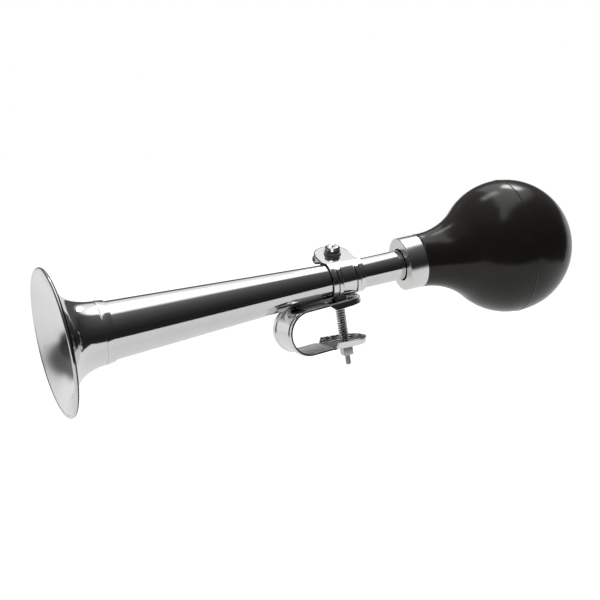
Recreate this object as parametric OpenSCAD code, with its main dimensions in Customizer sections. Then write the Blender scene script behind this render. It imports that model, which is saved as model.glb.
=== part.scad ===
// Bulb air horn for a handlebar: a spun flared bell on a tapered tube, a straight
// tail tube with a reed unit, a rubber bulb in a turned ferrule, and a two-part bracket
// made of a pinch ring round the tube and a strap that loops round the handlebar.
// The handlebar runs along the loop's own axis, the horn lies along X, and +Z is up.

/* [Bell] */
// Outer diameter of the rolled rim
bell_d = 78; // [72:1:84]
// Thickness of the spun sheet
sheet = 0.6; // [0.5:0.1:0.8]
// Radius of the rolled rim bead
bead_r = 1.1; // [0.9:0.1:1.4]
// Distance from the rim to the line where the socket starts
flare_end = 24; // [22:1:27]
// Length of the socket that takes the tube
socket_len = 5.4; // [4:0.2:7]
// Distance over which the flare falls to a third
flare_len = 6.5; // [6:0.5:8]

/* [Tubes] */
// Outer diameter that the taper would have at the rim
taper_d = 33.9; // [33:0.1:35]
// Outer diameter of the straight tail tube
tail_d = 16; // [15.6:0.2:17]
// Distance from the rim to the small end of the taper
taper_end = 169.2; // [166:0.4:174]
// Wall of the tapered tube
taper_wall = 0.6; // [0.5:0.1:0.7]
// Wall of the tail tube
tail_wall = 0.8; // [0.7:0.1:1]
// Length of the reduced spigot inside the small end of the taper
spigot_len = 11; // [8:1:14]

/* [Ferrule and bulb] */
// Distance from the rim to the front face of the ferrule
ferrule_x = 193.4; // [188:0.2:200]
// Length of the ferrule
ferrule_len = 10.6; // [9:0.2:14]
// Outer diameter of the ferrule
ferrule_d = 28.3; // [27.5:0.1:30]
// Wall of the ferrule
ferrule_wall = 0.8; // [0.6:0.1:1]
// Gap between the ferrule's hole and the tail tube
ferrule_gap = 0.5; // [0.3:0.1:0.8]
// Diameter of the round part of the bulb
bulb_d = 72.4; // [68:0.4:76]
// Distance from the back of the ferrule to the middle of the bulb
bulb_reach = 53; // [50:0.5:57]
// Rubber wall
bulb_wall = 3; // [2.5:0.5:4]
// Angle by which the soft bulb hangs below the horn's axis, in degrees
bulb_droop = 3; // [0:0.5:4]
// Height of the moulding seam round the bulb
seam_h = 0.2; // [0.1:0.05:0.3]

/* [Reed] */
// Outer diameter of the barrel that the bulb's neck grips
block_d = 20; // [19.2:0.2:21]
// Length of the barrel
block_len = 18; // [16:1:22]
// Depth to which the tail tube sits in the barrel
block_seat = 9; // [7:1:11]
// Bore of the barrel, filled by the reed
reed_bore_d = 9.2; // [8.4:0.2:10]
// Free length of the reed tongue
tongue_len = 22; // [18:1:26]
// Width of the reed tongue
tongue_w = 5.4; // [4.8:0.2:6]
// Thickness of the reed tongue
tongue_t = 0.25; // [0.2:0.05:0.35]
// Angle at which the tongue stands off its seat, in degrees
tongue_rise = 2; // [1.5:0.5:3]
// Play of the tongue in its slot, on each side
tongue_play = 0.06; // [0.05:0.01:0.08]

/* [Pinch ring] */
// Distance from the rim to the middle of the ring
ring_x = 160; // [156:0.5:162]
// Width of the ring and of its ears
ring_w = 19; // [18:0.5:20]
// Thickness of the ring band
band_t = 1.1; // [0.9:0.1:1.3]
// Running clearance between the ring and the tube
ring_fit = 0.05; // [0.03:0.01:0.08]
// Angle by which the ears lean back over the tube, in degrees
ear_lean = 16; // [12:1:20]
// Distance along the ears from the tube's crown to the pinch screw
ear_reach = 11.5; // [11:0.1:13]
// Distance by which the upper ear stands nearer to the bell than the band
ear_shift = 1.4; // [0:0.1:2]
// Distance by which the lower ear stands nearer to the bell than the upper one
ear_skew = 1; // [0:0.1:1.4]
// Gap between the two ears
ear_gap = 1.8; // [0.8:0.1:2.2]
// Distance of each pressed bead from the middle of the ring
ring_bead_x = 5.3; // [4.5:0.1:6]
// Height of the pressed beads
ring_bead_h = 0.5; // [0.3:0.05:0.6]
// Diameter of the pinch screw
pinch_d = 4; // [3.5:0.1:4.4]
// Diameter of the pinch screw's slotted head
pinch_head_d = 8.2; // [7.6:0.1:9]
// Height of the pinch screw's head
pinch_head_h = 3; // [2.6:0.1:3.4]
// Outer diameter of the split washer under the head
pinch_washer_d = 9.2; // [8:0.1:10]
// Thickness of the split washer
pinch_washer_t = 1.1; // [0.9:0.1:1.3]
// Length of the pinch screw that stands out under the lower ear
pinch_tail = 1.5; // [0.6:0.1:2.5]

/* [Handlebar strap] */
// Diameter of the handlebar that the loop holds
bar_d = 22.2; // [21.4:0.1:23.4]
// Width of the strap
strap_w = 20.6; // [19.6:0.2:22]
// Thickness of the strap
strap_t = 1; // [0.9:0.1:1.2]
// Distance from the long screw to the middle of the loop
loop_reach = 24.6; // [24:0.2:26]
// Distance by which the lobes' round ends are centred beyond the long screw
lobe_reach = 1.4; // [0:0.1:2]
// Depth of the folded edge round each lobe, where it starts
flange_h = 4; // [3:0.1:4.4]
// Depth that the folded edge loses towards the lobe's end
flange_fade = 0.8; // [0:0.1:1.2]
// Distance from the long screw to where the folded edge starts
flange_reach = 10.8; // [10.2:0.2:12]
// Depth of the joggle between the lower leg and its lobe
foot_step = 0.6; // [0.3:0.1:1.2]
// Fall of the lower lobe from its start to its end
foot_dip = 1.3; // [0:0.1:1.6]
// Distance of each pressed rib from the middle of the strap
rib_y = 7.3; // [6.5:0.1:7.8]
// Height of the pressed ribs
rib_h = 0.5; // [0.3:0.05:0.6]
// Distance from the long screw to the end of the pressed ribs on the lower leg
rib_stop = 16; // [14:0.5:18]
// Angle by which the strap stands turned about the long screw, in degrees
strap_turn = 7.4; // [0:0.2:15]

/* [Long screw] */
// Distance from the rim to the long screw
screw_x = 155.9; // [155:0.1:158]
// Diameter of the long screw
screw_d = 3; // [2.6:0.1:3.2]
// Diameter of its countersunk head
screw_head_d = 5.8; // [5.6:0.1:6]
// Length of thread that shows below the nut
screw_tail = 5.4; // [3:0.2:7]
// Diameter of the pivot boss that the strap turns on
pivot_d = 7.4; // [7.2:0.1:7.8]
// Size of the square nut
nut_af = 5.5; // [5:0.1:6]
// Height of the square nut
nut_h = 5.6; // [3:0.1:6]
// Thickness of the spring wire
wire_d = 0.7; // [0.6:0.05:0.75]
// Outer diameter of the spring
spring_d = 5.4; // [5.2:0.1:6]
// Number of curls in the spring
spring_turns = 17; // [12:1:17]
// Distance by which the loose spring lies off the screw's middle
spring_shift = 0.4; // [0:0.05:0.4]

/* [Hidden] */
$fn = 96;

press_fit = 0.02;
running_fit = 0.05;
bell_steps = 26;
nickel = [0.80, 0.80, 0.79];
steel = [0.70, 0.71, 0.72];
brass = [0.76, 0.62, 0.30];
rubber = [0.09, 0.09, 0.085];

// The outer radius of the tapered tube at a distance x from the rim
taper_drop = (taper_d - tail_d) / 2 / taper_end;
taper_angle = atan(taper_drop);
function taper_r(x) = taper_d / 2 - taper_drop * x;

// The bell's outer radius: the taper plus the sheet, with a flare that dies away
bell_r = bell_d / 2;
flare_h = bell_r - bead_r / 2 - taper_d / 2 - sheet;
function flare_r(x) = taper_r(x) + sheet + flare_h * exp(-pow(max(x - bead_r / 2, 0) / flare_len, 1.1));
function flare_slope(x) = (flare_r(x + 0.05) - flare_r(x - 0.05)) / 0.1;
function flare_x(i) = bead_r / 2 + 0.1 + (flare_end - bead_r / 2 - 0.1) * pow(i / bell_steps, 1.7);
function outer_point(x) = [x, flare_r(x)];
function inner_point(x) = let (m = flare_slope(x), n = sqrt(1 + m * m))
    [max(x + m * sheet / n, 0.05), flare_r(x) - sheet / n];
bell_len = flare_end + socket_len;
taper_start = flare_end - 4;

tail_r = tail_d / 2;
tail_bore_r = tail_r - tail_wall;
spigot_r = taper_r(taper_end) - taper_wall;
spigot_x = taper_end - spigot_len;

ferrule_end = ferrule_x + ferrule_len;
ferrule_hole_r = tail_r + ferrule_gap;
neck_r = ferrule_d / 2 - ferrule_wall;
neck_start = ferrule_x + 1.2;
block_x = neck_start + 2.4;
block_end = block_x + block_len;
tube_end = block_x + block_seat;
reed_bore_r = reed_bore_d / 2;
seat_z = 1.4;
wedge_z = seat_z + tongue_t + 2 * tongue_play + 0.1;
pin_x = block_end - 2;
tongue_root = 1.4;
shallot_x = tube_end + 1.5;
shallot_end = pin_x + tongue_len + 1.5;

// The bulb's outline: a straight neck, a hollow curve that touches both the neck and
// the round part, and the round part itself
bulb_r = bulb_d / 2;
bulb_neck_r = ferrule_d / 2 + 0.1;
sweep_r = (bulb_reach * bulb_reach + bulb_neck_r * bulb_neck_r - bulb_r * bulb_r)
    / (2 * (bulb_r - bulb_neck_r));
touch_angle = atan2(bulb_neck_r + sweep_r, bulb_reach);
sweep_steps = 18;
ball_steps = 30;

// Radii of the ring round the taper at its front, middle and back
ring_front = ring_x - ring_w / 2;
ring_back = ring_x + ring_w / 2;
function ring_bore(x) = taper_r(x) + ring_fit;
ring_top = (ring_bore(ring_x) + band_t) / cos(taper_angle);
ear_under = ring_top - band_t;
low_ear_top = ear_under - ear_gap;
low_ear_under = low_ear_top - band_t;
ear_turn = 2.4;
low_ear_start = sqrt(pow(ring_bore(ring_front), 2) - pow(low_ear_under + 0.5, 2)) + 0.1;
washer_top = ring_top + pinch_washer_t;

// Heights under the horn's axis of the strap's two legs and of what hangs on the screw
lobe_top = -(ring_bore(ring_front) + band_t + running_fit);
lobe_r = strap_w / 2;
bar_r = bar_d / 2;
loop_r = bar_r + strap_t;
bar_z = lobe_top - loop_r;
foot_under = lobe_top - 2 * loop_r;
spring_top = lobe_top - strap_t + 0.05;
lobe_end = lobe_reach + lobe_r;
foot_slope = foot_dip / (flange_reach + lobe_end);
foot_at_screw = foot_under - foot_step - foot_slope * flange_reach;
spring_foot = foot_at_screw + strap_t + foot_slope * spring_d / 2 + 0.05;
nut_top = foot_at_screw - foot_slope * nut_af * 0.7 - 0.03;
screw_end = nut_top - nut_h - screw_tail;
screw_r = screw_d / 2;
head_top = -(taper_r(screw_x) + 0.35);
head_h = (screw_head_d - screw_d) / 2;
pivot_r = pivot_d / 2;

// Where the handlebar's axis lies under the horn, which is the part's origin
bar_x = screw_x - loop_reach * cos(strap_turn);
bar_y = -loop_reach * sin(strap_turn);

// Places the horn's own frame, with the rim at zero on the horn's axis
module in_place() translate([-bar_x, -bar_y, -bar_z]) children();

// Places the strap's own frame, with the long screw at zero and the loop along -X
module at_strap() in_place() translate([screw_x, 0, 0]) rotate([0, 0, strap_turn]) children();

// Places the ears' own frame at the middle of the ring: Y runs along the ears,
// Z stands square to them, and X follows the taper
module at_ears() in_place() translate([ring_x, 0, 0]) rotate([ear_lean, 0, 0])
    rotate([0, taper_angle, 0]) children();

// Turns an outline of [distance along X, radius] points round the X axis
module turned(points) rotate([0, 90, 0]) rotate_extrude() polygon([for (p = points) [p[1], p[0]]]);

// A straight round bar along X
module bar_x(from, to, r) translate([from, 0, 0]) rotate([0, 90, 0]) cylinder(h = to - from, r = r);

module bell() color(nickel) in_place() {
    outer = [for (i = [0:bell_steps]) outer_point(flare_x(i))];
    inner = [for (i = [bell_steps:-1:0]) inner_point(flare_x(i))];
    turned(concat(outer, inner));
    // The rolled rim
    rotate([0, 90, 0]) translate([0, 0, bead_r]) rotate_extrude()
        translate([bell_r - bead_r, 0]) circle(r = bead_r, $fn = 32);
    // The socket over the tube, with a fine step where it starts
    step = 0.12;
    turned([[flare_end - 0.3, taper_r(flare_end) + 0.01], [flare_end - 0.3, flare_r(flare_end) - 0.2],
            [flare_end, flare_r(flare_end) - 0.2], [flare_end + 0.25, flare_r(flare_end) + step - 0.1],
            [flare_end + 0.5, flare_r(flare_end) + step], [bell_len - 0.2, taper_r(bell_len) + sheet + step],
            [bell_len, taper_r(bell_len) + sheet + step - 0.2], [bell_len, taper_r(bell_len) + 0.01]]);
}

module taper_tube() color(nickel) in_place() turned([
    [taper_start, taper_r(taper_start) - taper_wall], [taper_start, taper_r(taper_start)],
    [taper_end, taper_r(taper_end)], [taper_end, taper_r(taper_end) - taper_wall]]);

module tail_tube() color(nickel) in_place() difference() {
    union() {
        bar_x(taper_end, tube_end, tail_r);
        bar_x(spigot_x, taper_end + 0.5, spigot_r - press_fit);
    }
    bar_x(spigot_x - 1, tube_end + 1, min(tail_bore_r, spigot_r - press_fit - 0.5));
}

// The brass barrel: the tail tube sits in its front, the reed in its bore, and
// three barbs hold the bulb's neck
module reed_block() color(brass) in_place() difference() {
    barb_r = block_d / 2 - running_fit;
    groove = 0.5;
    pitch = block_len / 4;
    turned(concat([[block_x, 0], [block_x, barb_r - 1], [block_x + 1, barb_r]],
        [for (i = [0:2]) each [[block_x + (i + 1) * pitch, barb_r],
            [block_x + (i + 1) * pitch, barb_r - groove], [block_x + (i + 1.6) * pitch, barb_r - groove],
            [block_x + (i + 1.8) * pitch, barb_r]]],
        [[block_end - 0.5, barb_r], [block_end, barb_r - 0.5], [block_end, 0]]));
    bar_x(block_x - 1, tube_end, tail_r + press_fit);
    bar_x(tube_end - 0.5, block_end + 1, reed_bore_r);
}

// The half-round reed seat: closed at its tip, open to the tail tube, with a long
// slot in its flat face
module reed_shallot() color(brass) in_place() difference() {
    r = reed_bore_r - press_fit;
    bore = r - 1;
    slot_w = tongue_w - 2.2;
    bar_x(shallot_x, shallot_end, r);
    bar_x(shallot_x - 1, shallot_end - 1.2, min(bore, seat_z + 1.8));
    translate([shallot_x - 1, -r - 1, seat_z]) cube([shallot_end - shallot_x + 2, 2 * r + 2, r]);
    translate([shallot_x - 1, -r, seat_z - 0.9]) cube([block_end - shallot_x + 1.05, 2 * r, r]);
}

// A flat plate closes the seat under the tongue's root and the wedge presses on it
module reed_wedge() color(brass) in_place() difference() {
    r = reed_bore_r - press_fit;
    bar_x(shallot_x, block_end, r);
    translate([shallot_x - 1, -r - 1, -r - 1])
        cube([block_end - shallot_x + 2, 2 * r + 2, r + 1 + seat_z - 0.88]);
    translate([block_end - 2 * tongue_root - 1, -tongue_w / 2 - 0.2, seat_z])
        cube([2 * tongue_root + 2, tongue_w + 0.4, wedge_z - seat_z]);
}

module reed_tongue() color(brass) in_place()
    translate([pin_x, 0, seat_z + tongue_play + tongue_t / 2]) {
    translate([0.3 - tongue_root, -tongue_w / 2, -tongue_t / 2]) cube([tongue_root, tongue_w, tongue_t]);
    rotate([0, -tongue_rise, 0]) translate([0, -tongue_w / 2, -tongue_t / 2])
        cube([tongue_len, tongue_w, tongue_t]);
}

module ferrule() color(nickel) in_place() difference() {
    r = ferrule_d / 2;
    edge = 0.35;
    turned([[ferrule_x, 0], [ferrule_x, r - edge], [ferrule_x + edge, r], [ferrule_end - edge / 2, r],
            [ferrule_end, r - edge / 2], [ferrule_end, 0]]);
    bar_x(ferrule_x - 1, ferrule_end + 1, ferrule_hole_r);
    bar_x(ferrule_x + 1, ferrule_end + 1, neck_r);
}

// The bulb's outline in its drooping frame, for a skin that lies a depth under the outside
function sweep_point(a, depth) = [(sweep_r + depth) * sin(a),
    bulb_neck_r + sweep_r - (sweep_r + depth) * cos(a)];
function ball_point(a, depth) = [bulb_reach - (bulb_r - depth) * cos(a), (bulb_r - depth) * sin(a)];
function bulb_outline(depth, lead) = concat([[-lead, 0], [-lead, bulb_neck_r - depth]],
    [for (i = [0:sweep_steps]) sweep_point(i * (90 - touch_angle) / sweep_steps, depth)],
    [for (i = [1:ball_steps]) ball_point(touch_angle + i * (180 - touch_angle) / ball_steps, depth)]);

module bulb() color(rubber) difference() {
    cavity_x = block_end - 1 - ferrule_end;
    union() {
        in_place() bar_x(neck_start, ferrule_end + 3, neck_r - press_fit);
        // The round part hangs a little, and is cut square behind the ferrule
        difference() {
            in_place() translate([ferrule_end, 0, 0]) rotate([0, bulb_droop, 0]) {
                turned(bulb_outline(0, 2));
                rotate([0, 90, 0]) translate([0, 0, bulb_reach]) rotate_extrude()
                    translate([bulb_r - 0.6, 0]) circle(r = 0.6 + seam_h, $fn = 16);
            }
            in_place() bar_x(ferrule_end - 10, ferrule_end + 0.02, ferrule_d);
        }
    }
    in_place() bar_x(neck_start - 1, block_end + 1, block_d / 2);
    in_place() translate([ferrule_end, 0, 0]) rotate([0, bulb_droop, 0]) difference() {
        turned(bulb_outline(bulb_wall, 0));
        translate([-10, -bulb_d / 2, -bulb_d / 2]) cube([10 + cavity_x, bulb_d, bulb_d]);
    }
}

// A pressed bead on the ring: a low rounded strip bent round the tube, that stands in
// the middle of the band's wall
module ring_bead(x) {
    half = 1.3;
    steps = 8;
    foot_r = ring_bore(ring_x + x) + band_t / 2;
    from = 222;
    to = 284;
    translate([ring_x + x, 0, 0]) rotate([0, 90, 0]) rotate([0, 0, from]) rotate_extrude(angle = to - from)
        polygon(concat([[foot_r, -half]], [for (i = [-steps:2:steps])
            [foot_r + band_t / 2 - 0.1 + (ring_bead_h + 0.1) * cos(90 * i / steps), half * i / steps]],
            [[foot_r, half]]));
}

// One ear: a flat plate with a round end, from a distance y along the ears, that moves
// over towards the bell just beyond its root
module ear(y, shift, low, high) translate([0, 0, low]) linear_extrude(high - low) difference() {
    w = ring_w / 2;
    union() {
        polygon([[-w, y], [-w, y + ear_turn / 2], [-w - shift, y + ear_turn / 2 + shift],
                 [-w - shift, ear_reach], [w - shift, ear_reach], [w - shift, y + ear_turn / 2 + shift],
                 [w, y + ear_turn / 2], [w, y]]);
        translate([-shift, ear_reach]) circle(r = w);
    }
    translate([-ring_w, y - ring_w]) square([2 * ring_w, ring_w]);
}

// The foot under the ring that the strap turns on, let into the band's wall
module ring_foot() difference() {
    translate([screw_x, 0, 0]) {
        translate([0, 0, lobe_top + running_fit]) cylinder(h = 3, r = pivot_r + 1);
        translate([0, 0, lobe_top - strap_t + 0.1]) cylinder(h = 3, r = pivot_r);
    }
    turned([[ring_front - 5, 0], [ring_front - 5, ring_bore(ring_front - 5) + band_t / 2],
            [ring_back + 5, ring_bore(ring_back + 5) + band_t / 2], [ring_back + 5, 0]]);
}

module pinch_ring() color(nickel) difference() {
    union() {
        difference() {
            in_place() turned([[ring_front, ring_bore(ring_front)],
                [ring_front, ring_bore(ring_front) + band_t],
                [ring_back, ring_bore(ring_back) + band_t], [ring_back, ring_bore(ring_back)]]);
            at_ears() translate([-ring_w, 0, low_ear_top]) cube([2 * ring_w, 2 * ring_w, 2 * ring_w]);
        }
        in_place() for (x = [-ring_bead_x, ring_bead_x]) ring_bead(x);
        at_ears() ear(-0.3, ear_shift, ear_under + 0.02, ring_top - 0.03);
        at_ears() ear(low_ear_start, ear_shift + ear_skew, low_ear_under, low_ear_top - 0.03);
        in_place() ring_foot();
    }
    at_ears() translate([-ear_shift, ear_reach, 0])
        cylinder(h = 2 * ring_top, r = pinch_d / 2 + running_fit);
    in_place() translate([screw_x, 0, 0]) {
        translate([0, 0, lobe_top - 5]) cylinder(h = 10, r = screw_r + running_fit);
        translate([0, 0, head_top - head_h]) cylinder(h = head_h, r1 = screw_r + running_fit,
            r2 = screw_r + head_h + running_fit);
        translate([0, 0, head_top]) cylinder(h = 3, r = screw_head_d / 2 + running_fit);
    }
}

module pinch_screw() color(steel) at_ears() translate([-ear_shift, ear_reach, 0]) difference() {
    slot_w = 1.2;
    slot_h = 1.4;
    edge = 0.5;
    union() {
        translate([0, 0, low_ear_under - pinch_tail])
            cylinder(h = washer_top - low_ear_under + pinch_tail + 1, r = pinch_d / 2);
        translate([0, 0, washer_top + running_fit]) cylinder(h = pinch_head_h - edge, r = pinch_head_d / 2);
        translate([0, 0, washer_top + running_fit + pinch_head_h - edge])
            cylinder(h = edge, r1 = pinch_head_d / 2, r2 = pinch_head_d / 2 - edge);
    }
    rotate([0, 0, 62]) translate([0, 0, washer_top + running_fit + pinch_head_h])
        cube([2 * pinch_head_d, slot_w, 2 * slot_h], center = true);
}

module pinch_washer() color(steel) at_ears() translate([-ear_shift, ear_reach, ring_top]) difference() {
    cylinder(h = pinch_washer_t, d = pinch_washer_d);
    translate([0, 0, -1]) cylinder(h = pinch_washer_t + 2, r = pinch_d / 2 + 0.15);
    // The split
    rotate([0, 0, 215]) translate([0, -0.35, -1]) cube([pinch_washer_d, 0.7, pinch_washer_t + 2]);
}

// The outline of one lobe and its leg, seen from above
module lobe_outline(from, inset) {
    translate([-from, -lobe_r + inset]) square([from + lobe_reach, strap_w - 2 * inset]);
    translate([lobe_reach, 0]) circle(r = lobe_r - inset);
}

// A shape as wide as the strap from its side view of [distance, height] points
module side_slab(points) translate([0, lobe_r + 1, 0]) rotate([90, 0, 0])
    linear_extrude(strap_w + 2) polygon(points);

// The lower leg's underside: level behind the loop, then a joggle down to the lobe
foot_line = [[-loop_reach, foot_under], [-flange_reach - 2.5, foot_under],
             [-flange_reach, foot_under - foot_step], [lobe_end + 1, foot_under - foot_step - foot_dip]];
function raised(points, h) = [for (p = points) p + [0, h]];
function turned_back(points) = [for (i = [len(points) - 1:-1:0]) points[i]];

// The upright walls of the folded edges, before they are cut to height
module edge_walls(low) translate([0, 0, low]) linear_extrude(2 * flange_h + 2) difference() {
    lobe_outline(flange_reach, 0);
    lobe_outline(flange_reach + 1, strap_t);
}

// The section of a pressed rib, with its foot in the middle of the strap's wall
rib_steps = 8;
function rib_section(half, high) = concat([[loop_r - strap_t / 2, -half]],
    [for (i = [-rib_steps:2:rib_steps]) [loop_r - 0.1 + (high + 0.1) * cos(90 * i / rib_steps),
        half * i / rib_steps]], [[loop_r - strap_t / 2, half]]);

// A pressed rib along the strap: from a little short of the loop's crown, round the
// loop and some way along the lower leg
module strap_rib(y) translate([-loop_reach, y, bar_z]) {
    rib_len = loop_reach - rib_stop;
    short = 22;
    lap = 0.4;
    rotate([90, 0, 0]) rotate([0, 0, 90 + short]) rotate_extrude(angle = 179 - short)
        polygon(rib_section(1.2, rib_h));
    translate([-lap, 0, 0]) rotate([0, 90, 0]) linear_extrude(rib_len + lap)
        polygon(rib_section(1.15, rib_h - 0.04));
}

module handlebar_strap() color(nickel) difference() {
    at_strap() {
        // The loop, with its ribs
        difference() {
            translate([-loop_reach, lobe_r, bar_z]) rotate([90, 0, 0]) cylinder(h = strap_w, r = loop_r);
            translate([-loop_reach, -strap_w, bar_z - 2 * loop_r]) cube([loop_reach, 2 * strap_w, 4 * loop_r]);
            translate([-loop_reach, strap_w, bar_z]) rotate([90, 0, 0]) cylinder(h = 2 * strap_w, r = bar_r);
        }
        for (y = [-rib_y, rib_y]) strap_rib(y);
        // The upper leg and its lobe
        translate([0, 0, lobe_top - strap_t]) linear_extrude(strap_t) lobe_outline(loop_reach, 0);
        intersection() {
            edge_walls(lobe_top - flange_h - 1);
            side_slab([[-flange_reach, lobe_top - strap_t / 2],
                       [flange_h * 0.8 - flange_reach, lobe_top - flange_h],
                       [lobe_end + 1, lobe_top - flange_h + flange_fade],
                       [lobe_end + 1, lobe_top - strap_t / 2]]);
        }
        // The lower leg and its lobe
        intersection() {
            translate([0, 0, foot_under - 5]) linear_extrude(10) lobe_outline(loop_reach, 0);
            side_slab(concat(foot_line, turned_back(raised(foot_line, strap_t))));
        }
        intersection() {
            edge_walls(foot_under - foot_step - foot_dip - 1);
            side_slab([[-flange_reach, foot_under - foot_step + strap_t / 2],
                       [lobe_end + 1, foot_under - foot_step - foot_dip + strap_t / 2],
                       [lobe_end + 1, foot_under - foot_step - foot_dip + flange_h - flange_fade],
                       [flange_h * 0.4 - flange_reach, foot_under - foot_step + flange_h]]);
        }
    }
    at_strap() translate([0, 0, bar_z]) cylinder(h = loop_r + 1, r = pivot_r + running_fit);
    at_strap() translate([0, 0, foot_under - 4]) cylinder(h = loop_r, r = screw_r + running_fit);
}

module long_screw() color(steel) in_place() translate([screw_x, 0, 0]) difference() {
    union() {
        translate([0, 0, screw_end]) cylinder(h = head_top - head_h - screw_end + 0.1, r = screw_r);
        translate([0, 0, head_top - head_h]) cylinder(h = head_h, r1 = screw_r, r2 = screw_head_d / 2);
    }
    translate([-screw_head_d, -0.4, head_top - 0.6]) cube([2 * screw_head_d, 0.8, 1]);
}

module square_nut() color(steel) at_strap() translate([0, 0, nut_top - nut_h]) difference() {
    rotate([0, 0, -strap_turn]) translate([-nut_af / 2, -nut_af / 2, 0]) cube([nut_af, nut_af, nut_h]);
    translate([0, 0, -1]) cylinder(h = nut_h + 2, r = screw_r + 0.02);
}

// The spring's path: a straight start, steady curls and a straight end
curl_r = (spring_d - wire_d) / 2;
spring_sides = 6;
curl_rings = 8;
curl_low = spring_foot + wire_d;
curl_high = spring_top - wire_d;
curl_step = (curl_high - curl_low) / spring_turns;
function curl_point(t) = [curl_r * cos(360 * t), curl_r * sin(360 * t), curl_low + t * curl_step];
spring_path = concat([[curl_r, 0, spring_foot]],
    [for (i = [0:spring_turns * curl_rings]) curl_point(i / curl_rings)],
    [[curl_r, 0, spring_top]]);
function path_way(i) = let (n = len(spring_path), a = spring_path[max(i - 1, 0)],
    b = spring_path[min(i + 1, n - 1)], d = (i == 0 || i == n - 1) ? [0, 0, 1] : b - a) d / norm(d);
function ring_points(i) = let (p = spring_path[i], t = path_way(i),
    out = [p[0], p[1], 0] / norm([p[0], p[1], 0]), side = out - (out * t) * t,
    u = side / norm(side), v = cross(t, u))
    [for (k = [0:spring_sides - 1]) p + wire_d / 2 * (cos(360 * k / spring_sides) * u
        + sin(360 * k / spring_sides) * v)];
spring_gap = min([for (i = [0:len(spring_path) - 1]) for (j = [i + 5:len(spring_path) - 1])
    norm(spring_path[i] - spring_path[j])]) - wire_d;
echo(spring_gap = spring_gap);

module spacer_spring() color(steel) in_place() translate([screw_x - spring_shift, 0, 0]) {
    rings = len(spring_path);
    s = spring_sides;
    points = [for (i = [0:rings - 1]) each ring_points(i)];
    walls = [for (i = [0:rings - 2]) for (k = [0:s - 1]) let (a = i * s + k, b = i * s + (k + 1) % s)
        each [[a, a + s, b + s], [a, b + s, b]]];
    caps = concat([for (k = [1:s - 2]) [0, k, k + 1]],
        [for (k = [1:s - 2]) [(rings - 1) * s, (rings - 1) * s + k + 1, (rings - 1) * s + k]]);
    polyhedron(points, concat(walls, caps));
}

bell();
taper_tube();
tail_tube();
reed_block();
reed_shallot();
reed_tongue();
reed_wedge();
ferrule();
bulb();
pinch_ring();
pinch_screw();
pinch_washer();
handlebar_strap();
long_screw();
spacer_spring();
square_nut();
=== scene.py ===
import math

import bmesh
import bpy
from mathutils import Matrix, Vector


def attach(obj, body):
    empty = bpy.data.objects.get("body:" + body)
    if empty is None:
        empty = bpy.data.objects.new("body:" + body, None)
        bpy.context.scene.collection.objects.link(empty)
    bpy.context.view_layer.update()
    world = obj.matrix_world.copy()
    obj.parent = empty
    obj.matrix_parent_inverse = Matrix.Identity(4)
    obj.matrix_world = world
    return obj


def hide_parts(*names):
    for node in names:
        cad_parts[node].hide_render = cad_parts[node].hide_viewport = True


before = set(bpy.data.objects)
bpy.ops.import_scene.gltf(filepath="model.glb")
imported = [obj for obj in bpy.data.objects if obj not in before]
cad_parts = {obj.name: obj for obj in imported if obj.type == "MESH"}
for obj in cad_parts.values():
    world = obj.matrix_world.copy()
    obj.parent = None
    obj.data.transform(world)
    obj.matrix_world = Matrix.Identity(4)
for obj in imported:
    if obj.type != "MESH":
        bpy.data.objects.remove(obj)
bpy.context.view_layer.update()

# ---------------------------------------------------------------- sizes, in millimetres
# Most lengths are given in the horn's own frame: X along the horn from the bell's rim,
# Z up from the horn's axis. The scene's origin is the middle of the handlebar.
STRAP_TURN = math.radians(7.4)  # the strap's turn on its pivot
LOOP_REACH = 24.6  # from the long screw to the handlebar's centre
SCREW_X = 155.9  # long screw
SHEET = 0.6  # the bell's sheet
BELL_R = 39.0
BEAD_R = 1.1  # the bell's rolled rim
FLARE_END = 24.0  # where the flare meets its socket
BELL_LEN = 29.4
FLARE_LEN = 6.5  # how slowly the flare closes
TAPER_R = 16.95  # the tapered tube's radius, carried on to the rim's plane
TAIL_R = 8.0
TAPER_END = 169.2
RING_X = 160.0  # middle of the pinch ring
RING_W = 19.0
BAND_T = 1.1
RING_FIT = 0.05
EAR_LEAN = math.radians(16)
EAR_REACH = 11.5  # from the tube's crown to the pinch screw
EAR_GAP = 1.8
EAR_SHIFT = 1.4  # how far the ears stand towards the bell
EAR_SKEW = 1.0  # and the lower ear further
BAR_R = 11.1  # handlebar
STRAP_W = 20.6
STRAP_T = 1.0
TAPER_DROP = (TAPER_R - TAIL_R) / TAPER_END
TAPER_ANGLE = math.atan(TAPER_DROP)


def taper_r(x):
    return TAPER_R - TAPER_DROP * x


def ring_bore(x):
    return taper_r(x) + RING_FIT


LOOP_R = BAR_R + STRAP_T
REST_GAP = 0.05  # between pieces that lie on each other
LOBE_TOP = -(ring_bore(RING_X - RING_W / 2) + BAND_T + REST_GAP)
BAR_Z = LOBE_TOP - LOOP_R
FOOT = LOBE_TOP - 2 * LOOP_R
HORN = Vector((LOOP_REACH * math.cos(STRAP_TURN) - SCREW_X,
               LOOP_REACH * math.sin(STRAP_TURN), -BAR_Z))
IN_PLACE = Matrix.Translation(HORN)
AT_SCREW = IN_PLACE @ Matrix.Translation((SCREW_X, 0, 0))
AT_STRAP = AT_SCREW @ Matrix.Rotation(STRAP_TURN, 4, "Z")
LEAN = IN_PLACE @ Matrix.Translation((RING_X, 0, 0)) @ Matrix.Rotation(EAR_LEAN, 4, "X")
AT_EARS = LEAN @ Matrix.Rotation(TAPER_ANGLE, 4, "Y")
RING_TOP = (ring_bore(RING_X) + BAND_T) / math.cos(TAPER_ANGLE)
AT_PINCH = AT_EARS @ Matrix.Translation((-EAR_SHIFT, EAR_REACH, 0))


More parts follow.
